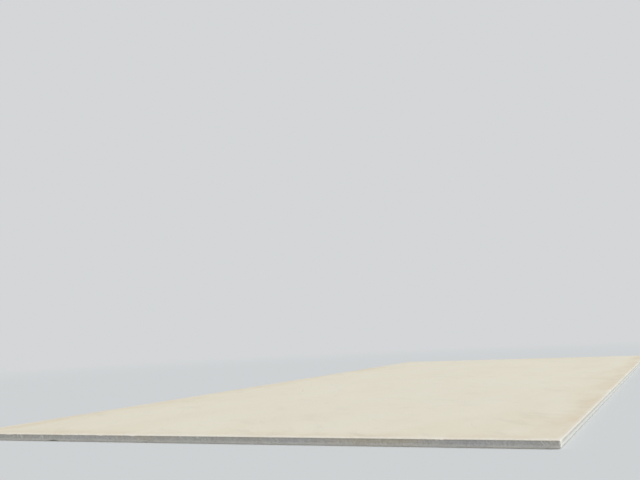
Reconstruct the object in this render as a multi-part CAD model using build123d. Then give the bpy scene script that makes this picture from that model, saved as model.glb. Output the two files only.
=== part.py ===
"""A full sheet of gypsum plasterboard (drywall), lying face up on its back.

One board: a gypsum core bonded between paper liners, sold and handled as one
piece of stock, so it is one solid. The length runs along X, the width along Y
and the face looks up +Z. The origin is the middle of the back, at the level
that the board rests on.

The section across the width is the shape that the forming line gives it. The
face paper is folded round both long edges and on to the back, which eases the
four long arrises. The back paper is narrower than the board, so the back steps
up by the paper's thickness along each long edge, where the folded face paper
is left bare. Both ends are sawn square, through paper and core.
"""
import os

from build123d import *

# Trade sizes of the board
sheet_length = 3000.0
sheet_width = 1200.0
sheet_thickness = 12.5

# Long edges, bound in the face paper
face_arris_radius = 1.2
back_arris_radius = 1.8

# Bare strip of folded face paper beside the back paper
lap_width = 22.0
back_paper_step = 0.3


def half_section():
    """Half of the section at the middle of the board, seen along X: back, lap, edge and face."""
    edge_y = sheet_width / 2
    step_y = edge_y - lap_width
    face_z = sheet_thickness
    with BuildSketch(Plane.YZ) as sketch:
        with BuildLine():
            Polyline(
                (0, face_z),
                (0, 0),
                (step_y, 0),
                (step_y, back_paper_step),
                (edge_y - back_arris_radius, back_paper_step),
            )
            RadiusArc(
                (edge_y - back_arris_radius, back_paper_step),
                (edge_y, back_paper_step + back_arris_radius),
                -back_arris_radius,
            )
            Line(
                (edge_y, back_paper_step + back_arris_radius),
                (edge_y, face_z - face_arris_radius),
            )
            RadiusArc(
                (edge_y, face_z - face_arris_radius),
                (edge_y - face_arris_radius, face_z),
                -face_arris_radius,
            )
            Line((edge_y - face_arris_radius, face_z), (0, face_z))
        make_face()
    return sketch.sketch


def drywall_sheet():
    """The section, mirrored about the middle and run the length of the board between its sawn ends."""
    half = half_section()
    section = half + mirror(half, about=Plane.XZ)
    return extrude(section, amount=sheet_length / 2, both=True)


os.makedirs("parts", exist_ok=True)
sheet = drywall_sheet()
sheet.label = "drywall_sheet"
export_step(sheet, "parts/drywall_sheet.step")
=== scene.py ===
"""Finish and stage for a full sheet of gypsum plasterboard, lying face up.

The board is one closed surface. Its section is carried along its length, and each sawn end is
closed by a band of cut paper and a patch of rough gypsum, so paper, lap, step and core lie where
the real ones do. The surface is fine along the arrises and the ends, where knocks and frayed paper
show, and coarse in the flat field of the face and the back.
"""
import math

import bpy
import numpy as np
from bpy.props import FloatProperty, FloatVectorProperty, IntProperty, PointerProperty
from mathutils import Matrix, Vector


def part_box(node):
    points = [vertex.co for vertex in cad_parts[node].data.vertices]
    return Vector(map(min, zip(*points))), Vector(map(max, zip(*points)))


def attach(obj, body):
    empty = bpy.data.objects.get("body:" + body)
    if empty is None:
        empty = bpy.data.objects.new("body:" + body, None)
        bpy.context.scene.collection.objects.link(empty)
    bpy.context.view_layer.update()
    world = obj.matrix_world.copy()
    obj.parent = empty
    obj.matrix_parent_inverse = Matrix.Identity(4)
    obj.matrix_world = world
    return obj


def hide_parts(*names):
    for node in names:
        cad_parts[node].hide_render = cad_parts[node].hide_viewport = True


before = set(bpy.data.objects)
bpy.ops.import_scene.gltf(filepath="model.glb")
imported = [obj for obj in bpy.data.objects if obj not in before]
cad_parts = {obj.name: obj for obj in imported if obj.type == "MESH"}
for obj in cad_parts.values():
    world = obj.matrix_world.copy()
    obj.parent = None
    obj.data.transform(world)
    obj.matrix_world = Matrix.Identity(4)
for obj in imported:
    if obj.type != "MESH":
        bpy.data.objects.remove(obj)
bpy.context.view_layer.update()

bl_info = {
    "name": "Drywall Sheet",
    "version": (1, 0, 0),
    "blender": (4, 5, 0),
    "location": "View3D > Sidebar > Drywall",
    "description": "Builds a paper-faced gypsum board and a pale studio round it",
    "category": "Add Mesh",
}

MM = 0.001
NODE = "drywall_sheet"
LOW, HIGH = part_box(NODE)
LENGTH = HIGH.x - LOW.x
WIDTH = HIGH.y - LOW.y
THICKNESS = HIGH.z - LOW.z

# Fine steps across and along the board, and how many of them make a coarse cell of the flat field
FINE_STEP = 2.0 * MM
EDGE_STEP = 5.0 * MM
CELLS = 10

# Fine steps that lie between the flat field and the long edges, and the sawn ends
RIM = 5
END_RIM = 6

# Steps of the section over a lap, an arris and a long edge, and from the face down to the lap
LAP_STEPS = 5
ARC_STEPS = 3
EDGE_STEPS = 8
ROWS = 2 * ARC_STEPS + EDGE_STEPS

# Coarse cells and fine steps across the face, and points round the whole section
ACROSS = round((WIDTH / FINE_STEP - 2 * RIM) / CELLS)
COLUMNS = ACROSS * CELLS + 2 * RIM
LOOP_POINTS = 2 * (COLUMNS + ROWS)

# Sine waves in a ripple, and the least and the greatest length of a wave as shares of its size
WAVES = 24
WAVE_LENGTHS = (0.6, 1.7)

# How far from a sawn end the fraying starts, and the size and the amount of each of its ripples
FRAY_REACH = 5 * MM
FRAY_RIPPLES = ((9 * MM, 0.5), (3.5 * MM, 0.35))

# Mean and most of the fraying as shares of the fray, and the share of the lean left at the back
FRAY_MEAN = 0.4
FRAY_MOST = 1.6
BACK_LEAN = 0.3

# Wall from the cut paper back to the gypsum: its width, and its depth as shares of the saw's depth
WALL = 0.15 * MM
WALL_MEAN = 0.8
WALL_RIPPLE = 0.3
WALL_RIPPLE_SIZE = 4 * MM

# Sawn gypsum: the hollow of its middle, and size and depth in mm of its grains and the saw's drift
HOLLOW = 0.12 * MM
GRAINS = ((5, 0.12), (2.4, 0.10))
DRIFT_SIZE = 60
DRIFT_DEPTH = 0.15

# Share of the knocks that is on the sawn ends, and share that is on the face's arris
END_SHARE = 0.4
FACE_SHARE = 0.75

# How far from the middle of its side a knock can be, as a share of the side
SPAN = 0.48

# Least depth of a knock as a share of the deepest, and the power that makes most of them shallow
KNOCK_LEAST = 0.25
KNOCK_POWER = 1.5

# Half length and reach of a knock, measured in its own depth
KNOCK_HALF = (3, 9)
KNOCK_REACH = 2.2

# Share of the knocks that tears the paper, and how bare of it their middle gets
TEAR_SHARE = 0.5
KNOCK_TORN = (0.6, 1)

# Levels of a knock's bell at which a tear starts and at which it is full
TEAR_LEVELS = (0.35, 0.8)

# Flaked places: depth as a share of a knock's, and half length as a share of the flake length
FLAKE_DEPTH = 0.4
FLAKE_HALF = (0.15, 0.5)

# The power that makes most flaked places short, and their reach as a share of their half length
FLAKE_POWER = 1.3
FLAKE_REACH = (0.15, 0.4)

# Bruised corners: depth as a share of the deepest knock, size in their own depth, and bareness
CORNER_DEPTH = (0.1, 0.6)
CORNER_SIZE = 3
CORNER_TORN = (0, 0.7)

# How far knocks and bruised corners push along the thickness, as a share of their depth
KNOCK_SQUEEZE = 0.8
CORNER_SQUEEZE = 0.5

# The bend past which an edge of the surface shows sharp
SHARP_ANGLE = math.radians(40)

# The floor's inner and outer radius in metres, its divisions, and how far it lies under the board
FLOOR_RADII = (0.5, 40)
FLOOR_RINGS = 24
FLOOR_SPOKES = 96
FLOOR_DROP = 0.1 * MM

# Where the floor starts and ends to fade into the backdrop, and how far off the lamp is, in metres
FADE_FROM = 1.9
FADE_TO = 5.5
LAMP_DISTANCE = 4

# Material slots of the board's surface
PAPER, BACK, CORE, CUT = range(4)

# Sockets of a colour Mix node
FACTOR, UNDER, OVER, MIXED = 0, 6, 7, 2

# The picture's frame in pixels and the camera's sensor in millimetres
FRAME_WIDTH = 640
FRAME_HEIGHT = 480
SENSOR_WIDTH = 36.0


def linear(code):
    """Turns an sRGB hex colour such as #DDD5C3 into linear red, green and blue."""
    parts = np.array([int(code[i:i + 2], 16) for i in (1, 3, 5)]) / 255
    return tuple(np.where(parts <= 0.04045, parts / 12.92, ((parts + 0.055) / 1.055) ** 2.4))


def per(size_mm):
    """A texture's scale for features of this size, on coordinates in metres."""
    return 1 / (size_mm * MM)


def colour(name, description, code):
    """A colour property with its default given as sRGB hex."""
    return FloatVectorProperty(
        name=name, description=description, subtype="COLOR", min=0, max=1, default=linear(code))


def length(name, description, default_mm):
    """A length property with its default given in millimetres."""
    return FloatProperty(
        name=name, description=description, unit="LENGTH", precision=5, min=0, default=default_mm * MM)


class SheetShape(bpy.types.PropertyGroup):
    """Sizes of the section, the sawn ends and the wear."""

    face_arris: length("Face arris", "Radius where the face paper turns over the long edge", 1.2)
    back_arris: length("Back arris", "Radius where the face paper turns on to the back", 1.8)
    lap: length("Lap", "Bare strip of folded face paper along each side of the back", 22.0)
    back_step: length("Back step", "How far the back paper stands over the folded face paper", 0.3)
    paper: length("Paper", "Height of the frayed edge of the papers at a sawn end", 0.8)
    paper_slope: length("Paper slope", "How far that edge leans back from the saw's plane", 0.6)
    saw_depth: length("Saw depth", "About how far the gypsum lies behind the paper at a sawn end", 0.3)
    fray: length("Fray", "How unevenly the saw has left the paper", 0.4)
    knocks: IntProperty(
        name="Knocks", description="Number of knocks along the arrises", min=0, default=46)
    knock_depth: length("Knock depth", "How far the deepest knock goes in", 1.5)
    flakes: IntProperty(
        name="Flakes", description="Number of places where the saw has flaked the face paper off",
        min=0, default=26)
    flake_length: length("Flake length", "About the length of the longest of them", 30.0)
    seed: IntProperty(
        name="Seed", description="Draw of the fray, the sawn gypsum and the knocks", default=11)


class SheetColours(bpy.types.PropertyGroup):
    """Colours of the papers and the gypsum."""

    face: colour("Face paper", "Ivory face paper", "#DED8C6")
    warm: colour("Aged paper", "Face paper where age and damp have warmed it", "#D3C3A8")
    # Also the painted shade of the grey band under the arris of the long edges
    scuff_and_shade: colour("Scuff", "Grey of a rubbed place", "#B3AC9F")
    back: colour("Back paper", "Grey-brown back paper of recycled fibre", "#A79E8E")
    core: colour("Core", "Gypsum on a sawn end", "#D2C9B7")
    grey: colour("Grey core", "Gypsum where it is greyer", "#C6C5C4")
    pore: colour("Pore", "Shade in the pores of the gypsum", "#928C80")
    dust: colour("Dust", "Gypsum dust, and gypsum laid bare by a knock", "#EBE8E0")
    cut: colour("Cut paper", "Frayed edge of the paper on a sawn end", "#EAE3D2")
    # Painted sky light: the face's ivory paper drawn cooler and less yellow, as sky light shows it on the
    # long edges
    edge: colour("Long edge", "Face paper pressed smooth over the long edges", "#D3D7D2")


class SheetStage(bpy.types.PropertyGroup):
    """Camera, light and floor."""

    azimuth: FloatProperty(
        name="Azimuth", description="Direction of the view, 0 along +Y and 90 along -X",
        subtype="ANGLE", default=math.radians(-66.2))
    pitch: FloatProperty(
        name="Pitch", description="How far the camera looks up", subtype="ANGLE",
        default=math.radians(6.6))
    roll: FloatProperty(
        name="Roll", description="How far the camera leans to its right", subtype="ANGLE",
        default=math.radians(2.53))
    focal: FloatProperty(
        name="Focal length", description="Focal length in pixels of the frame", min=100, default=812)
    corner_x: FloatProperty(
        name="Corner across", description="Pixels from the frame's left to the face's near corner",
        default=560.2)
    corner_y: FloatProperty(
        name="Corner down", description="Pixels from the frame's top to the face's near corner",
        default=440.5)
    distance: FloatProperty(
        name="Distance", description="Depth of the near corner in front of the camera",
        unit="LENGTH", default=1.2)
    floor: colour("Floor", "Pale studio floor", "#CED0D0")
    backdrop: colour("Backdrop", "What the camera sees past the floor", "#D4D6D8")
    sky_colour: colour("Sky colour", "Slightly cool white of the even light", "#F8FBFF")
    sky: FloatProperty(name="Sky", description="Strength of the even light", min=0, default=0.48)
    key: FloatProperty(name="Key", description="Strength of the soft lamp", min=0, default=2.5)
    key_from: FloatVectorProperty(
        name="Key from", description="Where the soft lamp's light comes from", subtype="DIRECTION",
        default=(0.35, -0.85, 0.9))
    key_spread: FloatProperty(
        name="Key spread", description="How wide the soft lamp looks from the board", subtype="ANGLE",
        default=math.radians(35))


def ease(low, high, value):
    """Runs from 0 at low to 1 at high and is level at both: 3 t squared minus 2 t cubed."""
    t = np.clip((value - low) / (high - low), 0, 1)
    return t * t * (3 - 2 * t)


def ripple(random, size, *place):
    """Soft noise, mostly from -1 to 1: a sum of sine waves about size long, each with a direction
    and a phase of its own, over coordinates of any number."""
    headings = random.normal(size=(WAVES, len(place)))
    headings /= np.linalg.norm(headings, axis=1, keepdims=True)
    lengths = size * random.uniform(*WAVE_LENGTHS, WAVES)
    phases = random.uniform(0, 2 * np.pi, WAVES)
    turns = (headings / lengths[:, None]) @ np.stack([p.ravel() for p in place])
    waves = np.sin(2 * np.pi * turns + phases[:, None]).sum(0)
    return (waves / np.sqrt(WAVES)).reshape(place[0].shape)


def run(start, end, steps):
    """Points from start up to, but without, end, evenly spaced on a straight line."""
    t = np.arange(steps)[:, None] / steps
    return np.array(start) + t * (np.array(end) - np.array(start))


def arc(centre, radius, first, steps):
    """Points of a quarter circle, clockwise from the angle first, without its last point."""
    turn = first - np.arange(steps) / steps * np.pi / 2
    return np.array(centre) + radius * np.stack([np.cos(turn), np.sin(turn)], axis=1)


def section(shape):
    """The section as a closed loop of (y, z), clockwise seen along -X: the face from -Y to +Y, the
    +Y edge down, the back from +Y to -Y with its laps and steps, and the -Y edge up."""
    side = WIDTH / 2
    face_y = side - shape.face_arris
    turn_y = side - shape.back_arris
    lap_y = side - shape.lap
    lap_z = shape.back_step
    edge_top = THICKNESS - shape.face_arris
    edge_foot = lap_z + shape.back_arris
    back_columns = COLUMNS - 2 * (LAP_STEPS + 1)
    right = [
        arc((face_y, edge_top), shape.face_arris, np.pi / 2, ARC_STEPS),
        run((side, edge_top), (side, edge_foot), EDGE_STEPS),
        arc((turn_y, edge_foot), shape.back_arris, 0, ARC_STEPS),
        run((turn_y, lap_z), (lap_y, lap_z), LAP_STEPS),
        run((lap_y, lap_z), (lap_y, 0), 1),
    ]
    left = [
        run((-lap_y, 0), (-lap_y, lap_z), 1),
        run((-lap_y, lap_z), (-turn_y, lap_z), LAP_STEPS),
        arc((-turn_y, edge_foot), shape.back_arris, -np.pi / 2, ARC_STEPS),
        run((-side, edge_foot), (-side, edge_top), EDGE_STEPS),
        arc((-face_y, edge_top), shape.face_arris, np.pi, ARC_STEPS),
    ]
    face = run((-face_y, THICKNESS), (face_y, THICKNESS), COLUMNS)
    back = run((lap_y, 0), (-lap_y, 0), back_columns)
    return np.concatenate([face, *right, back, *left])


def stations():
    """Places along X: END_RIM short steps inside each sawn end, each longer than the one before it,
    and even steps between."""
    inset = np.cumsum(np.arange(1, END_RIM + 1)) * EDGE_STEP / (END_RIM + 1)
    cells = round((LENGTH - 2 * inset[-1]) / (EDGE_STEP * CELLS)) * CELLS
    middle = np.linspace(-LENGTH / 2 + inset[-1], LENGTH / 2 - inset[-1], cells + 1)
    start = -LENGTH / 2 + np.concatenate([[0], inset[:-1]])
    return np.concatenate([start, middle, -start[::-1]])


def inward(loop):
    """Unit vectors across the section into the board, from the mean of the two sides at each point."""
    along = np.roll(loop, -1, axis=0) - np.roll(loop, 1, axis=0)
    along /= np.linalg.norm(along, axis=1, keepdims=True)
    return np.stack([along[:, 1], -along[:, 0]], axis=1)


def loop_sides(loop):
    """The four sides of a closed loop, each with both its ends: the face and the back from -Y to +Y,
    and the -Y and the +Y edge downwards."""
    top = loop[:COLUMNS + 1]
    right = loop[COLUMNS:COLUMNS + ROWS + 1]
    foot = loop[COLUMNS + ROWS:2 * COLUMNS + ROWS + 1][::-1]
    left = np.concatenate([loop[2 * COLUMNS + ROWS:], loop[:1]])[::-1]
    return top, foot, left, right


def patch(loop):
    """Fills a closed loop of points with a grid. Each place is the sum of the two straight blends
    between opposite sides, less the blend of the four corners. Row 0 is the face's side of the loop
    and column 0 is the -Y edge."""
    top, foot, left, right = loop_sides(loop)
    across = np.linspace(0, 1, COLUMNS + 1)[None, :, None]
    down = np.linspace(0, 1, ROWS + 1)[:, None, None]
    sides = (1 - across) * left[:, None] + across * right[:, None]
    ends = (1 - down) * top[None] + down * foot[None]
    high = (1 - across) * top[0] + across * top[-1]
    low = (1 - across) * foot[0] + across * foot[-1]
    return sides + ends - (1 - down) * high - down * low


def patch_numbers(first):
    """Vertex numbers of a patch's grid: its rim is the loop that starts at first, and its inside
    follows the loop row by row."""
    ring = first + np.arange(LOOP_POINTS)
    inside = first + LOOP_POINTS + np.arange((ROWS - 1) * (COLUMNS - 1))
    numbers = np.zeros((ROWS + 1, COLUMNS + 1), int)
    numbers[0], numbers[-1], numbers[:, 0], numbers[:, -1] = loop_sides(ring)
    numbers[1:-1, 1:-1] = inside.reshape(ROWS - 1, COLUMNS - 1)
    return numbers


def squares(grid):
    """Four-sided faces of a grid of vertex numbers."""
    corners = [grid[:-1, :-1], grid[1:, :-1], grid[1:, 1:], grid[:-1, 1:]]
    return np.stack(corners, axis=-1).reshape(-1, 4)


def big_cells(grid, used):
    """Outlines of the coarse cells of a fine grid, each CELLS by CELLS, and which of their points
    are used. A cell beside the fine rim takes in the rim's points along that side."""
    rows = np.arange(0, grid.shape[0] - 1, CELLS)[:, None, None]
    cols = np.arange(0, grid.shape[1] - 1, CELLS)[None, :, None]
    step = np.arange(CELLS)
    none = np.zeros(CELLS, int)
    full = np.full(CELLS, CELLS)
    r = rows + np.concatenate([step, full, CELLS - step, none])
    c = cols + np.concatenate([none, step, full, CELLS - step])
    r, c = np.broadcast_arrays(r, c)
    return grid[r, c].reshape(-1, 4 * CELLS), used[r, c].reshape(-1, 4 * CELLS)


def arris_damage(shape, random):
    """Damage along the arrises: place, direction of the arris, half length along it, reach across it,
    direction and depth of the push, and how far it has torn the paper. First come the knocks, and
    then the places on the sawn ends where the saw has flaked the face paper off."""
    count = shape.knocks + shape.flakes
    flake = np.arange(count) >= shape.knocks
    at_end = flake | (random.random(count) < END_SHARE)
    side = random.choice([-1, 1], count)
    up = np.where(flake, 1, random.choice([-1, 1], count, p=[1 - FACE_SHARE, FACE_SHARE]))
    along = random.uniform(-SPAN, SPAN, count)
    place = np.stack([
        np.where(at_end, side * LENGTH / 2, along * LENGTH),
        np.where(at_end, along * WIDTH, side * WIDTH / 2),
        np.where(up > 0, THICKNESS, 0),
    ], axis=1)
    axis = np.stack([~at_end, at_end, np.zeros(count)], axis=1)
    push = np.stack([-side * at_end, -side * ~at_end, -KNOCK_SQUEEZE * up], axis=1)
    depth = shape.knock_depth * random.uniform(KNOCK_LEAST, 1, count) ** KNOCK_POWER
    depth *= np.where(flake, FLAKE_DEPTH, 1)
    half = np.where(
        flake, shape.flake_length * random.uniform(*FLAKE_HALF, count) ** FLAKE_POWER,
        depth * random.uniform(*KNOCK_HALF, count))
    reach = np.where(flake, half * random.uniform(*FLAKE_REACH, count), depth * KNOCK_REACH)
    tears = random.random(count) < TEAR_SHARE
    torn = np.where(flake, 1, tears * random.uniform(*KNOCK_TORN, count))
    return place, axis, half, reach, push, depth, torn


def corner_damage(shape, random):
    """The same list for a bruise on each of the eight corners, which reaches as far on all sides and
    so has no direction."""
    corners = np.array([(x, y, z) for x in (-1, 1) for y in (-1, 1) for z in (0, 1)], float)
    place = corners * [LENGTH / 2, WIDTH / 2, THICKNESS]
    axis = np.zeros(corners.shape)
    squeeze = (1 - 2 * corners[:, 2]) * CORNER_SQUEEZE
    push = np.stack([-corners[:, 0], -corners[:, 1], squeeze], axis=1)
    depth = shape.knock_depth * random.uniform(*CORNER_DEPTH, len(corners))
    size = depth * CORNER_SIZE
    torn = random.uniform(*CORNER_TORN, len(corners))
    return place, axis, size, size, push, depth, torn


def knocked(points, shape, random):
    """Moves points in at each damaged place by a bell: depth times e to the minus square of the
    distance, measured in half lengths along the arris and in reaches across it. Returns the new
    points and how bare of paper each is."""
    moved = points.copy()
    bare = np.zeros(len(points))
    damage = [*zip(*arris_damage(shape, random)), *zip(*corner_damage(shape, random))]
    for place, axis, half, reach, push, depth, torn in damage:
        offset = points - place
        along = offset @ axis
        across = np.linalg.norm(offset - along[:, None] * axis, axis=1)
        bell = np.exp(-(along / half) ** 2 - (across / reach) ** 2)
        moved += (depth * bell)[:, None] * push
        bare = np.maximum(bare, torn * ease(*TEAR_LEVELS, bell))
    return moved, bare


def fraying(shape, walk, random):
    """How far the saw has frayed the paper back at each point round the section: a share of the fray,
    raised and lowered by ripples along the way round, and never less than nothing."""
    ragged = sum(ripple(random, size, walk) * amount for size, amount in FRAY_RIPPLES)
    return shape.fray * np.clip(FRAY_MEAN + ragged, 0, FRAY_MOST)


def sleeve_points(shape, loop, x, frays):
    """Points of the sleeve: point (i, j) is station i along X and point j of the section. Over the
    last few millimetres each sawn end is drawn in by its fray and by the lean of the cut paper."""
    sleeve = np.empty((len(x), len(loop), 3))
    sleeve[:, :, 0] = x[:, None]
    sleeve[:, :, 1:] = loop[None]
    lean = shape.paper_slope * (BACK_LEAN + (1 - BACK_LEAN) * loop[:, 1] / THICKNESS)
    for end, fray in zip((-1, 1), frays):
        near = ease(LENGTH / 2 - FRAY_REACH, LENGTH / 2, end * x)
        sleeve[:, :, 0] -= end * near[:, None] * (fray + lean)[None]
    return sleeve


def whole_piece(outlines, kinds):
    """A piece of surface whose outlines keep all their points, with one material number or one each."""
    return outlines, np.ones(outlines.shape, bool), np.broadcast_to(kinds, len(outlines))


def sleeve_pieces(station_count):
    """Which points of the sleeve are used, their vertex numbers, and its pieces of surface: squares
    along the arrises, edges, laps and sawn ends, and coarse cells in the flat field of the face and
    of the back, which uses every point of its rim and only every CELLS-th one inside."""
    back_first = COLUMNS + ROWS + RIM + CELLS // 2
    fields = ((RIM, RIM + ACROSS * CELLS), (back_first, back_first + (ACROSS - 1) * CELLS))
    lengthwise = slice(END_RIM, station_count - END_RIM)
    used = np.ones((station_count, LOOP_POINTS), bool)
    fine = np.ones((station_count - 1, LOOP_POINTS), bool)
    for first, last in fields:
        inside = used[lengthwise, first:last + 1]
        inside[1:-1, 1:-1] = False
        inside[::CELLS, ::CELLS] = True
        fine[END_RIM:-END_RIM, first:last] = False
    numbers = np.full(used.shape, -1)
    numbers[used] = np.arange(used.sum())
    closed = np.concatenate([numbers, numbers[:, :1]], axis=1)
    kinds = np.full(fine.shape, PAPER)
    kinds[:, COLUMNS + ROWS + LAP_STEPS:2 * COLUMNS + ROWS - LAP_STEPS] = BACK
    pieces = [whole_piece(squares(closed)[fine.ravel()], kinds[fine])]
    for (first, last), kind in zip(fields, (PAPER, BACK)):
        window = (lengthwise, slice(first, last + 1))
        cells, kept = big_cells(numbers[window], used[window])
        pieces.append((cells, kept, np.full(len(cells), kind)))
    return used, numbers, pieces


def roughness(grid, random):
    """Depth of the sawn gypsum at each place of a grid of (y, z): the size of a sum of grains and of
    the saw's drift, over a hollow that fades to nothing at the face and the back as the square root
    of a sine."""
    rough = sum(
        ripple(random, size * MM, grid[..., 0], grid[..., 1]) * depth * MM for size, depth in GRAINS)
    rough += ripple(random, DRIFT_SIZE * MM, grid[..., 0]) * DRIFT_DEPTH * MM
    middle = np.sin(np.linspace(0, np.pi, ROWS + 1))[:, None] ** 0.5
    return middle * (HOLLOW + np.abs(rough))


def sawn_end(shape, end, loop, walk, fray, outer, first, random):
    """Points and pieces of surface of one sawn end, 1 at +X and -1 at -X: from the sleeve's last
    loop, numbered outer, to a loop set in by the paper, to a loop behind it, and over a patch of
    rough gypsum. The points are numbered from first. Outlines at -X run the other way round, so
    that they face outwards."""
    into = inward(loop)
    paper_rim = loop + into * shape.paper
    core_rim = loop + into * (shape.paper + WALL)
    cut_x = LENGTH / 2 - fray
    uneven = WALL_MEAN + WALL_RIPPLE * ripple(random, WALL_RIPPLE_SIZE, walk)
    rim_x = cut_x - shape.saw_depth * uneven
    grid = patch(core_rim)
    grid_x = patch(np.stack([rim_x, rim_x], axis=1))[..., 0] - roughness(grid, random)
    inner = np.concatenate([grid_x[1:-1, 1:-1, None] * end, grid[1:-1, 1:-1]], axis=2)
    points = np.concatenate([
        np.concatenate([cut_x[:, None] * end, paper_rim], axis=1),
        np.concatenate([rim_x[:, None] * end, core_rim], axis=1),
        inner.reshape(-1, 3),
    ])
    paper_ring = first + np.arange(LOOP_POINTS)
    bands = np.stack([outer, paper_ring, paper_ring + LOOP_POINTS])
    bands = np.concatenate([bands, bands[:, :1]], axis=1)
    core = patch_numbers(first + LOOP_POINTS)
    pieces = [
        whole_piece(squares(bands)[:, ::end], CUT),
        whole_piece(squares(core)[:, ::end], CORE),
    ]
    return points, pieces


def sheet_surface(shape):
    """The whole board as points, how bare each is, and pieces of surface. A piece is its outlines,
    which of their points they keep, and a material number for each."""
    random = np.random.default_rng(shape.seed)
    loop = section(shape)
    x = stations()
    walk = np.cumsum(np.linalg.norm(np.diff(loop, axis=0, prepend=loop[-1:]), axis=1))
    frays = [fraying(shape, walk, random), fraying(shape, walk, random)]
    used, numbers, pieces = sleeve_pieces(len(x))
    points = sleeve_points(shape, loop, x, frays)[used]
    for end, fray, outer in zip((-1, 1), frays, (numbers[0], numbers[-1])):
        end_points, end_pieces = sawn_end(shape, end, loop, walk, fray, outer, len(points), random)
        points = np.concatenate([points, end_points])
        pieces += end_pieces
    points, bare = knocked(points, shape, random)
    return np.clip(points, LOW, HIGH), bare, pieces


def mesh_from(name, points, pieces):
    """A mesh from points and pieces of surface, each outline without the points it doesn't keep."""
    mesh = bpy.data.meshes.new(name)
    corners = np.concatenate([outlines[kept] for outlines, kept, _ in pieces])
    sizes = np.concatenate([kept.sum(axis=1) for _, kept, _ in pieces])
    kinds = np.concatenate([kinds for _, _, kinds in pieces])
    mesh.vertices.add(len(points))
    mesh.vertices.foreach_set("co", np.ascontiguousarray(points, np.float32).ravel())
    mesh.loops.add(len(corners))
    mesh.loops.foreach_set("vertex_index", corners.astype(np.int32))
    mesh.polygons.add(len(sizes))
    mesh.polygons.foreach_set("loop_start", (np.cumsum(sizes) - sizes).astype(np.int32))
    mesh.update(calc_edges=True)
    mesh.polygons.foreach_set("material_index", kinds.astype(np.int32))
    return mesh


def add(tree, kind, inputs=None, **settings):
    """Adds a node, sets its settings, and sets or links its inputs by name or number."""
    node = tree.nodes.new(kind)
    for name, value in settings.items():
        setattr(node, name, value)
    for key, value in (inputs or {}).items():
        if isinstance(value, bpy.types.NodeSocket):
            tree.links.new(value, node.inputs[key])
        else:
            node.inputs[key].default_value = value
    return node


def new_material(name):
    """An empty node material with its tree."""
    material = bpy.data.materials.new(name)
    material.use_nodes = True
    material.node_tree.nodes.clear()
    return material, material.node_tree


def rgba(value):
    """A colour property as red, green, blue and full alpha."""
    return (*value, 1.0)


def shaded(tree, tone, *layers):
    """A colour made lighter and darker by layers of noise, added up. Each layer is coordinates, the
    size of its features in mm, its detail, and how much it changes the colour from dark to light."""
    shade = 1 - sum(layer[3] for layer in layers) / 2
    for place, size_mm, detail, amount in layers:
        noise = add(tree, "ShaderNodeTexNoise", {
            "Vector": place, "Scale": per(size_mm), "Detail": detail, "Roughness": 0.6})
        shade = add(tree, "ShaderNodeMath", {0: noise.outputs[0], 1: amount, 2: shade},
                    operation="MULTIPLY_ADD").outputs[0]
    return add(tree, "ShaderNodeHueSaturation", {"Value": shade, "Color": tone}).outputs[0]


def marks(tree, place, size_mm, start, full, strength):
    """How strong marks are at each place: nothing up to one level of a noise, and full past another."""
    noise = add(tree, "ShaderNodeTexNoise", {
        "Vector": place, "Scale": per(size_mm), "Detail": 3.0, "Roughness": 0.6})
    return add(tree, "ShaderNodeMapRange", {0: noise.outputs[0], 1: start, 2: full, 4: strength},
               interpolation_type="SMOOTHSTEP").outputs[0]


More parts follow.
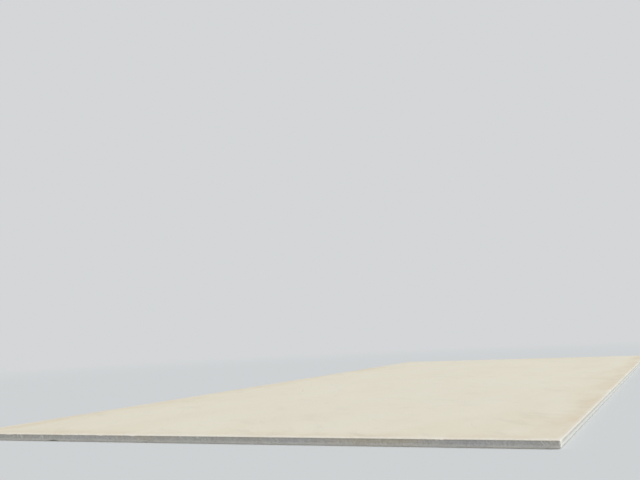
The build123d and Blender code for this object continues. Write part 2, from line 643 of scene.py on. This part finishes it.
def face_paper(colours):
    """Ivory face paper: calendered paperboard, dull and nearly smooth, cloudy like all recycled
    paper, with broad patches warmed by age and damp, grey smudges and thin scratches from handling,
    and gypsum dust by the sawn ends. Its long edges are painted less yellow for sky light, with a
    grey band of painted shade under the arris."""
    material, tree = new_material("ivory_face_paper")
    place = add(tree, "ShaderNodeTexCoord").outputs["Object"]
    axis = add(tree, "ShaderNodeSeparateXYZ", {0: place})
    run_on = add(tree, "ShaderNodeMapping", {"Vector": place, "Scale": (0.5, 1, 1)}).outputs[0]

    # How near the rim a place is, because a board is handled and weathers most along its rim
    from_centre = add(tree, "ShaderNodeMath", {0: axis.outputs["X"]}, operation="ABSOLUTE").outputs[0]
    from_middle = add(tree, "ShaderNodeMath", {0: axis.outputs["Y"]}, operation="ABSOLUTE").outputs[0]
    along = add(tree, "ShaderNodeMath", {0: from_centre, 1: (LENGTH - WIDTH) / 2}, operation="SUBTRACT")
    outward = add(tree, "ShaderNodeMath", {0: along.outputs[0], 1: from_middle}, operation="MAXIMUM")
    rim = add(tree, "ShaderNodeMapRange", {0: outward.outputs[0], 1: WIDTH / 4, 2: WIDTH / 2, 3: 0.5})

    # Broad warm patches, a hand across and longer along the board
    drawn = add(tree, "ShaderNodeMapping", {"Vector": place, "Scale": (0.3, 1, 1)}).outputs[0]
    patches = marks(tree, drawn, 150, 0.36, 0.7, 0.3)

    # A strip a hand wide round the rim that daylight has warmed more, blotched and with small stains
    faded = add(tree, "ShaderNodeMapRange", {
        0: outward.outputs[0], 1: WIDTH / 2 - 100 * MM, 2: WIDTH / 2 - 10 * MM, 4: 0.42},
        interpolation_type="SMOOTHSTEP")
    blotches = marks(tree, drawn, 110, 0.35, 0.62, 1)
    stains = marks(tree, run_on, 38, 0.45, 0.7, 0.5)
    blotted = add(tree, "ShaderNodeMath", {0: blotches, 1: stains})
    strip = add(tree, "ShaderNodeMath", {0: faded.outputs[0], 1: blotted.outputs[0]}, operation="MULTIPLY")
    warmth = add(tree, "ShaderNodeMath", {0: patches, 1: rim.outputs[0], 2: strip.outputs[0]},
                 operation="MULTIPLY_ADD")
    aged = add(tree, "ShaderNodeMix", {
        FACTOR: warmth.outputs[0], UNDER: rgba(colours.face), OVER: rgba(colours.warm)}, data_type="RGBA")

    # Cloudiness, faint bands from the rollers, and fibre drawn coarse enough to show
    rolled = add(tree, "ShaderNodeMapping", {"Vector": place, "Scale": (0.01, 1, 1)}).outputs[0]
    toned = shaded(
        tree, aged.outputs[MIXED], (place, 600, 2.0, 0.05), (rolled, 35, 2.0, 0.018),
        (place, 11, 3.0, 0.06), (run_on, 2, 2.0, 0.09))

    # Smudges and scratches wander by some degrees, because each was made by a different pull
    wander = add(tree, "ShaderNodeTexNoise", {"Vector": place, "Scale": per(350), "Detail": 1.0})
    pulled = add(tree, "ShaderNodeVectorMath", {
        0: wander.outputs["Color"], 1: (0.13, 0.13, 0), 2: place}, operation="MULTIPLY_ADD").outputs[0]

    # Grey smudges rubbed slantwise, and flecks of darker fibre, drawn larger than real to show
    rubbing = add(tree, "ShaderNodeMapping", {
        "Vector": pulled, "Rotation": (0, 0, math.radians(35)), "Scale": (3, 1, 1)},
        vector_type="TEXTURE").outputs[0]
    handled = marks(tree, rubbing, 45, 0.52, 0.8, 0.26)
    smudge = add(tree, "ShaderNodeMath", {0: handled, 1: rim.outputs[0]}, operation="MULTIPLY")
    fleck = marks(tree, run_on, 2.4, 0.64, 0.76, 0.4)
    darker = add(tree, "ShaderNodeMath", {0: smudge.outputs[0], 1: fleck}, operation="MAXIMUM")
    smudged = add(tree, "ShaderNodeMix", {
        FACTOR: darker.outputs[0], UNDER: toned, OVER: rgba(colours.scuff_and_shade)},
        data_type="RGBA").outputs[MIXED]

    # Grey and white scratches that cross each other, only inside a few areas
    for degrees, tint, strength in ((21, colours.scuff_and_shade, 0.5), (-63, colours.dust, 0.7)):
        turned = add(tree, "ShaderNodeMapping", {
            "Vector": pulled, "Rotation": (0, 0, math.radians(degrees)), "Scale": (50, 1, 1)},
            vector_type="TEXTURE").outputs[0]
        scratch = marks(tree, turned, 3, 0.64, 0.7, strength)
        area = marks(tree, turned, 80, 0.5, 0.62, 1)
        both = add(tree, "ShaderNodeMath", {0: scratch, 1: area}, operation="MULTIPLY")
        smudged = add(tree, "ShaderNodeMix", {
            FACTOR: both.outputs[0], UNDER: smudged, OVER: rgba(tint)}, data_type="RGBA").outputs[MIXED]

    # The last centimetre of the face by the long edges, partly rubbed pale and partly a painted highlight
    # along the arris
    highlight_by_edge = add(tree, "ShaderNodeMapRange", {
        0: from_middle, 1: WIDTH / 2 - 10 * MM, 2: WIDTH / 2 - 3 * MM, 4: 0.26},
        interpolation_type="SMOOTHSTEP")
    handling = marks(tree, place, 40, 0.1, 0.5, 1)
    rubbed = add(tree, "ShaderNodeMath", {0: highlight_by_edge.outputs[0], 1: handling}, operation="MULTIPLY")
    paler = add(tree, "ShaderNodeMix", {
        FACTOR: rubbed.outputs[0], UNDER: smudged, OVER: rgba(colours.dust)}, data_type="RGBA")

    # The long edges, painted cooler and less yellow than the face as sky light shows them, with a band of
    # painted shade from the crease under the arris over their upper half
    sky_on_edge = add(tree, "ShaderNodeMapRange", {
        0: from_middle, 1: WIDTH / 2 - 1.2 * MM, 2: WIDTH / 2 - 0.2 * MM, 4: 0.8})
    sky_lit_edges = add(tree, "ShaderNodeMix", {
        FACTOR: sky_on_edge.outputs[0], UNDER: paler.outputs[MIXED], OVER: rgba(colours.edge)},
        data_type="RGBA")
    over_band = add(tree, "ShaderNodeMath", {0: axis.outputs["Z"], 1: THICKNESS - 3.8 * MM},
                    operation="SUBTRACT")
    off_band = add(tree, "ShaderNodeMath", {0: over_band.outputs[0]}, operation="ABSOLUTE")
    band = add(tree, "ShaderNodeMapRange", {0: off_band.outputs[0], 1: 3.4 * MM, 2: 1.2 * MM})
    patchy_crease = marks(tree, run_on, 30, 0.2, 0.5, 0.6)
    crease_shade = add(tree, "ShaderNodeMath", {0: band.outputs[0], 1: patchy_crease}, operation="MULTIPLY")
    crease_shaded_edge = add(tree, "ShaderNodeMix", {
        FACTOR: crease_shade.outputs[0], UNDER: sky_lit_edges.outputs[MIXED], OVER: rgba(colours.scuff_and_shade)},
        data_type="RGBA")

    # Gypsum dust for two fingers' breadth before each sawn end, thick only at the very edge
    by_end = add(tree, "ShaderNodeMapRange", {
        0: from_centre, 1: LENGTH / 2 - 32 * MM, 2: LENGTH / 2 - 2 * MM, 4: 1.0},
        interpolation_type="SMOOTHSTEP")
    cloud = marks(tree, place, 6, 0.25, 0.75, 1)
    powder = add(tree, "ShaderNodeMath", {0: by_end.outputs[0], 1: cloud}, operation="MULTIPLY")

    # Gypsum laid bare where a knock tore the paper
    torn = add(tree, "ShaderNodeAttribute", attribute_name="bare")
    white = add(tree, "ShaderNodeMath", {0: powder.outputs[0], 1: torn.outputs["Fac"]}, operation="MAXIMUM")
    dusted = add(tree, "ShaderNodeMix", {
        FACTOR: white.outputs[0], UNDER: crease_shaded_edge.outputs[MIXED], OVER: rgba(colours.dust)},
        data_type="RGBA")

    # Nap of the fibre over a slight cockle
    cockle = add(tree, "ShaderNodeTexNoise", {"Vector": run_on, "Scale": per(60), "Detail": 1.0})
    fibre = add(tree, "ShaderNodeTexNoise", {"Vector": run_on, "Scale": per(1.5), "Detail": 2.0})
    waves = add(tree, "ShaderNodeBump", {"Distance": 0.15 * MM, "Height": cockle.outputs[0]})
    nap = add(tree, "ShaderNodeBump", {
        "Distance": 0.05 * MM, "Height": fibre.outputs[0], "Normal": waves.outputs[0]})
    surface = add(tree, "ShaderNodeBsdfPrincipled", {
        "Base Color": dusted.outputs[MIXED], "Roughness": 0.82, "Specular IOR Level": 0.35,
        "Normal": nap.outputs[0]})
    add(tree, "ShaderNodeOutputMaterial", {"Surface": surface.outputs[0]})
    return material


def back_paper(colours):
    """Back paper: uncoated recycled paperboard, grey-brown and dead matt, flecked with dark and pale
    fibre from the stock it was made of."""
    material, tree = new_material("grey_back_paper")
    place = add(tree, "ShaderNodeTexCoord").outputs["Object"]
    run_on = add(tree, "ShaderNodeMapping", {"Vector": place, "Scale": (0.6, 1, 1)}).outputs[0]
    toned = shaded(
        tree, rgba(colours.back), (place, 200, 2.0, 0.12), (place, 12, 3.0, 0.16), (run_on, 2, 2.0, 0.2))
    fleck = add(tree, "ShaderNodeTexNoise", {
        "Vector": run_on, "Scale": per(2.2), "Detail": 3.0, "Roughness": 0.75})
    dark = add(tree, "ShaderNodeMapRange", {0: fleck.outputs[0], 1: 0.6, 2: 0.7, 4: 0.5})
    pale = add(tree, "ShaderNodeMapRange", {0: fleck.outputs[0], 1: 0.4, 2: 0.3, 4: 0.22})
    darker = add(tree, "ShaderNodeMix", {
        FACTOR: dark.outputs[0], UNDER: toned, OVER: rgba(colours.pore)}, data_type="RGBA")
    flecked = add(tree, "ShaderNodeMix", {
        FACTOR: pale.outputs[0], UNDER: darker.outputs[MIXED], OVER: rgba(colours.face)}, data_type="RGBA")
    torn = add(tree, "ShaderNodeAttribute", attribute_name="bare")
    worn = add(tree, "ShaderNodeMix", {
        FACTOR: torn.outputs["Fac"], UNDER: flecked.outputs[MIXED], OVER: rgba(colours.dust)},
        data_type="RGBA")
    nap = add(tree, "ShaderNodeBump", {"Distance": 0.06 * MM, "Height": fleck.outputs[0]})
    surface = add(tree, "ShaderNodeBsdfPrincipled", {
        "Base Color": worn.outputs[MIXED], "Roughness": 0.92, "Specular IOR Level": 0.25,
        "Normal": nap.outputs[0]})
    add(tree, "ShaderNodeOutputMaterial", {"Surface": surface.outputs[0]})
    return material


def sawn_gypsum(colours):
    """Gypsum core as the saw left it: chalky and dead matt, grey and grainy, with upright saw marks,
    air pores, chipped-out pits and pale slanted scrapes. It is paler by the long edges, where it is
    denser, and lighter towards the back, and a painted shadow line runs under the face paper."""
    material, tree = new_material("sawn_gypsum")
    place = add(tree, "ShaderNodeTexCoord").outputs["Object"]
    axis = add(tree, "ShaderNodeSeparateXYZ", {0: place})

    # Warm and grey stretches along the end, and upright marks of the saw over a coarse grain
    upright = add(tree, "ShaderNodeMapping", {"Vector": place, "Scale": (1, 1, 0.12)}).outputs[0]
    damp = marks(tree, place, 260, 0.3, 0.7, 1)
    core = add(tree, "ShaderNodeMix", {
        FACTOR: damp, UNDER: rgba(colours.grey), OVER: rgba(colours.core)}, data_type="RGBA")
    toned = shaded(
        tree, core.outputs[MIXED], (upright, 2.5, 3.0, 0.34), (place, 4, 2.0, 0.42),
        (place, 14, 3.0, 0.2), (place, 180, 2.0, 0.14))

    # Air pores, drawn 1 to 2 mm wide, which is more than real, to show, and taller chipped-out pits
    half_up = add(tree, "ShaderNodeMapping", {"Vector": place, "Scale": (1, 1, 0.6)}).outputs[0]
    pore = marks(tree, place, 2.6, 0.58, 0.74, 0.4)
    pit = marks(tree, half_up, 4.5, 0.64, 0.78, 0.55)

    # A darker line under the face paper: painted shadow under the paper's lip
    lip_shadow = add(tree, "ShaderNodeMapRange", {
        0: axis.outputs["Z"], 1: THICKNESS - 3.4 * MM, 2: THICKNESS - 1.4 * MM, 4: 0.3})
    open_pore = add(tree, "ShaderNodeMath", {0: pore, 1: pit}, operation="MAXIMUM")
    pores_and_lip_shadow = add(tree, "ShaderNodeMath", {0: open_pore.outputs[0], 1: lip_shadow.outputs[0]},
               operation="MAXIMUM")
    pored_and_shaded = add(tree, "ShaderNodeMix", {
        FACTOR: pores_and_lip_shadow.outputs[0], UNDER: toned, OVER: rgba(colours.pore)}, data_type="RGBA")

    # Pale scrapes a few millimetres wide that slant across the end where the saw dragged gypsum
    slanted = add(tree, "ShaderNodeMapping", {
        "Vector": place, "Rotation": (math.radians(-45), 0, 0), "Scale": (1, 1, 4)},
        vector_type="TEXTURE").outputs[0]
    streaks = marks(tree, slanted, 3, 0.5, 0.7, 0.8)
    somewhere = marks(tree, place, 45, 0.45, 0.6, 1)
    scrapes = add(tree, "ShaderNodeMath", {0: streaks, 1: somewhere}, operation="MULTIPLY")

    # Paler for about two millimetres by the long edges, where the gypsum is denser, and by the back, ragged
    # inside
    from_middle = add(tree, "ShaderNodeMath", {0: axis.outputs["Y"]}, operation="ABSOLUTE").outputs[0]
    beside = add(tree, "ShaderNodeMapRange", {
        0: from_middle, 1: WIDTH / 2 - 3.2 * MM, 2: WIDTH / 2 - 1.0 * MM})
    below = add(tree, "ShaderNodeMapRange", {0: axis.outputs["Z"], 1: 3.2 * MM, 2: 1.0 * MM})
    rim = add(tree, "ShaderNodeMath", {0: beside.outputs[0], 1: below.outputs[0]}, operation="MAXIMUM")
    ragged = add(tree, "ShaderNodeTexNoise", {"Vector": place, "Scale": per(4), "Detail": 3.0})
    uneven = add(tree, "ShaderNodeMath", {0: rim.outputs[0], 1: ragged.outputs[0]})
    pale_rim = add(tree, "ShaderNodeMapRange", {0: uneven.outputs[0], 1: 0.8, 2: 1.3, 4: 0.9})

    # Lighter in drifts, and more so towards the back
    low = add(tree, "ShaderNodeMapRange", {0: axis.outputs["Z"], 1: 7.0 * MM, 2: 1.5 * MM})
    heaped = add(tree, "ShaderNodeMath", {0: low.outputs[0], 1: ragged.outputs[0]})
    lighter_low = add(tree, "ShaderNodeMapRange", {0: heaped.outputs[0], 1: 0.6, 2: 1.35})
    drift = marks(tree, place, 50, 0.2, 0.55, 0.95)
    lighter_drift = add(tree, "ShaderNodeMath", {0: lighter_low.outputs[0], 1: drift}, operation="MULTIPLY")
    paler = add(tree, "ShaderNodeMath", {0: lighter_drift.outputs[0], 1: scrapes.outputs[0]}, operation="MAXIMUM")
    white = add(tree, "ShaderNodeMath", {0: pale_rim.outputs[0], 1: paler.outputs[0]}, operation="MAXIMUM")
    rimmed = add(tree, "ShaderNodeMix", {
        FACTOR: white.outputs[0], UNDER: pored_and_shaded.outputs[MIXED], OVER: rgba(colours.dust)}, data_type="RGBA")

    # Relief of the upright saw marks, with the holes and the painted shadow line under the paper sunk in it
    sawing = add(tree, "ShaderNodeTexNoise", {"Vector": upright, "Scale": per(2.5), "Detail": 3.0})
    depth = add(tree, "ShaderNodeMath", {0: sawing.outputs[0], 1: pores_and_lip_shadow.outputs[0]}, operation="SUBTRACT")
    rough = add(tree, "ShaderNodeBump", {"Distance": 0.35 * MM, "Height": depth.outputs[0]})
    surface = add(tree, "ShaderNodeBsdfPrincipled", {
        "Base Color": rimmed.outputs[MIXED], "Roughness": 0.95, "Specular IOR Level": 0.2,
        "Normal": rough.outputs[0]})
    add(tree, "ShaderNodeOutputMaterial", {"Surface": surface.outputs[0]})
    return material


def cut_paper(colours):
    """Frayed edge of the papers on a sawn end: open fibre, paler than the gypsum and dead matt."""
    material, tree = new_material("cut_paper")
    place = add(tree, "ShaderNodeTexCoord").outputs["Object"]
    toned = shaded(tree, rgba(colours.cut), (place, 2.2, 3.0, 0.3), (place, 25, 2.0, 0.15))
    fuzz = add(tree, "ShaderNodeTexNoise", {"Vector": place, "Scale": per(2.2), "Detail": 3.0})
    nap = add(tree, "ShaderNodeBump", {"Distance": 0.15 * MM, "Height": fuzz.outputs[0]})
    surface = add(tree, "ShaderNodeBsdfPrincipled", {
        "Base Color": toned, "Roughness": 0.95, "Specular IOR Level": 0.2, "Normal": nap.outputs[0]})
    add(tree, "ShaderNodeOutputMaterial", {"Surface": surface.outputs[0]})
    return material


def sight(tree):
    """1 where the camera looks, straight or by way of gloss or glass, and 0 for light."""
    ray = add(tree, "ShaderNodeLightPath")
    gloss = add(tree, "ShaderNodeMath", {0: ray.outputs["Is Camera Ray"], 1: ray.outputs["Is Glossy Ray"]})
    return add(tree, "ShaderNodeMath", {0: gloss.outputs[0], 1: ray.outputs["Is Transmission Ray"]},
               use_clamp=True).outputs[0]


def pale_floor(look):
    """Matt studio floor that keeps the board's shadow and fades into the backdrop further out."""
    material, tree = new_material("pale_floor")
    place = add(tree, "ShaderNodeTexCoord").outputs["Object"]
    reach = add(tree, "ShaderNodeVectorMath", {0: place}, operation="LENGTH")
    far = add(tree, "ShaderNodeMapRange", {0: reach.outputs["Value"], 1: FADE_FROM, 2: FADE_TO},
              interpolation_type="SMOOTHSTEP")
    near = add(tree, "ShaderNodeBsdfPrincipled", {
        "Base Color": rgba(look.floor), "Roughness": 0.9, "Specular IOR Level": 0.0})
    haze = add(tree, "ShaderNodeEmission", {"Color": rgba(look.backdrop), "Strength": 1.0})
    seen = add(tree, "ShaderNodeMath", {0: far.outputs[0], 1: sight(tree)}, operation="MULTIPLY")
    both = add(tree, "ShaderNodeMixShader", {0: seen.outputs[0], 1: near.outputs[0], 2: haze.outputs[0]})
    add(tree, "ShaderNodeOutputMaterial", {"Surface": both.outputs[0]})
    return material


class DRYWALL_OT_sheet(bpy.types.Operator):
    """Build the board"""

    bl_idname = "drywall.sheet"
    bl_label = "Board"

    def execute(self, context):
        shape = context.scene.sheet_shape
        colours = context.scene.sheet_colours
        points, bare, pieces = sheet_surface(shape)
        mesh = mesh_from("gypsum_board", points, pieces)
        mesh.attributes.new("bare", "FLOAT", "POINT").data.foreach_set("value", bare.astype(np.float32))
        mesh.shade_smooth()
        mesh.set_sharp_from_angle(angle=SHARP_ANGLE)
        for material in (face_paper, back_paper, sawn_gypsum, cut_paper):
            mesh.materials.append(material(colours))
        board = bpy.data.objects.new("gypsum_board", mesh)
        context.scene.collection.objects.link(board)
        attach(board, "root")
        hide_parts(NODE)
        return {"FINISHED"}


class DRYWALL_OT_stage(bpy.types.Operator):
    """Make the floor, the light and the camera"""

    bl_idname = "drywall.stage"
    bl_label = "Stage"

    def execute(self, context):
        look = context.scene.sheet_stage
        make_floor(look)
        make_light(look)
        make_camera(look)
        return {"FINISHED"}


def make_floor(look):
    """A round floor just under the board, so that the two don't flicker: radius grows by even ratios
    from the middle, and angle by even steps."""
    radii = np.geomspace(*FLOOR_RADII, FLOOR_RINGS)
    angles = np.linspace(0, 2 * np.pi, FLOOR_SPOKES, endpoint=False)
    r, a = np.meshgrid(radii, angles, indexing="ij")
    rings = np.stack([r * np.cos(a), r * np.sin(a), np.full(r.shape, -FLOOR_DROP)], axis=-1)
    numbers = np.arange(r.size).reshape(r.shape)
    closed = np.concatenate([numbers, numbers[:, :1]], axis=1)
    pieces = [whole_piece(squares(closed), 0), whole_piece(numbers[:1], 0)]
    mesh = mesh_from("studio_floor", rings.reshape(-1, 3), pieces)
    mesh.materials.append(pale_floor(look))
    floor = bpy.data.objects.new("studio_floor", mesh)
    bpy.context.scene.collection.objects.link(floor)


def make_light(look):
    """Even light from the world, with the backdrop's colour where the camera looks, and one lamp."""
    world = bpy.data.worlds.new("studio")
    bpy.context.scene.world = world
    world.use_nodes = True
    tree = world.node_tree
    tree.nodes.clear()
    even = add(tree, "ShaderNodeBackground", {"Color": rgba(look.sky_colour), "Strength": look.sky})
    seen = add(tree, "ShaderNodeBackground", {"Color": rgba(look.backdrop), "Strength": 1.0})
    either = add(tree, "ShaderNodeMixShader", {0: sight(tree), 1: even.outputs[0], 2: seen.outputs[0]})
    add(tree, "ShaderNodeOutputWorld", {"Surface": either.outputs[0]})
    lamp = bpy.data.lights.new("soft_key", "SUN")
    lamp.angle = look.key_spread
    lamp.energy = look.key
    key = bpy.data.objects.new("soft_key", lamp)
    key.location = LAMP_DISTANCE * Vector(look.key_from)
    key.rotation_euler = Vector(look.key_from).to_track_quat("Z", "Y").to_euler()
    bpy.context.scene.collection.objects.link(key)


def make_camera(look):
    """The camera, turned by azimuth, pitch and roll, and set back along the ray of the near corner."""
    turn = Matrix.Rotation(look.azimuth, 4, "Z") @ Matrix.Rotation(math.pi / 2 + look.pitch, 4, "X")
    turn = turn @ Matrix.Rotation(-look.roll, 4, "Z")
    ray = Vector((
        (look.corner_x - FRAME_WIDTH / 2) / look.focal,
        (FRAME_HEIGHT / 2 - look.corner_y) / look.focal,
        -1,
    ))
    corner = Vector((LOW.x, LOW.y, HIGH.z))
    lens = bpy.data.cameras.new("camera")
    lens.sensor_width = SENSOR_WIDTH
    lens.lens = look.focal / FRAME_WIDTH * SENSOR_WIDTH
    camera = bpy.data.objects.new("camera", lens)
    camera.matrix_world = Matrix.Translation(corner - turn.to_3x3() @ ray * look.distance) @ turn
    bpy.context.scene.collection.objects.link(camera)
    bpy.context.scene.camera = camera


class DRYWALL_PT_sheet(bpy.types.Panel):
    """Lists the board and the stage"""

    bl_idname = "DRYWALL_PT_sheet"
    bl_label = "Drywall Sheet"
    bl_space_type = "VIEW_3D"
    bl_region_type = "UI"
    bl_category = "Drywall"

    def draw(self, context):
        for names, operator in (
                (("sheet_shape", "sheet_colours"), "drywall.sheet"),
                (("sheet_stage",), "drywall.stage")):
            for name in names:
                group = getattr(context.scene, name)
                for key in group.bl_rna.properties.keys():
                    if key not in ("rna_type", "name"):
                        self.layout.prop(group, key)
            self.layout.operator(operator)


GROUPS = {"sheet_shape": SheetShape, "sheet_colours": SheetColours, "sheet_stage": SheetStage}
CLASSES = (*GROUPS.values(), DRYWALL_OT_sheet, DRYWALL_OT_stage, DRYWALL_PT_sheet)


def register():
    """Registers the classes and hangs the settings on the scene."""
    for item in CLASSES:
        bpy.utils.register_class(item)
    for name, group in GROUPS.items():
        setattr(bpy.types.Scene, name, PointerProperty(type=group))


def unregister():
    """Takes the settings and the classes away again."""
    for name in GROUPS:
        delattr(bpy.types.Scene, name)
    for item in reversed(CLASSES):
        bpy.utils.unregister_class(item)


def main():
    """Builds the board and the stage."""
    register()
    bpy.ops.drywall.sheet()
    bpy.ops.drywall.stage()
    bpy.context.scene.view_settings.view_transform = "Standard"


if __name__ == "__main__":
    main()
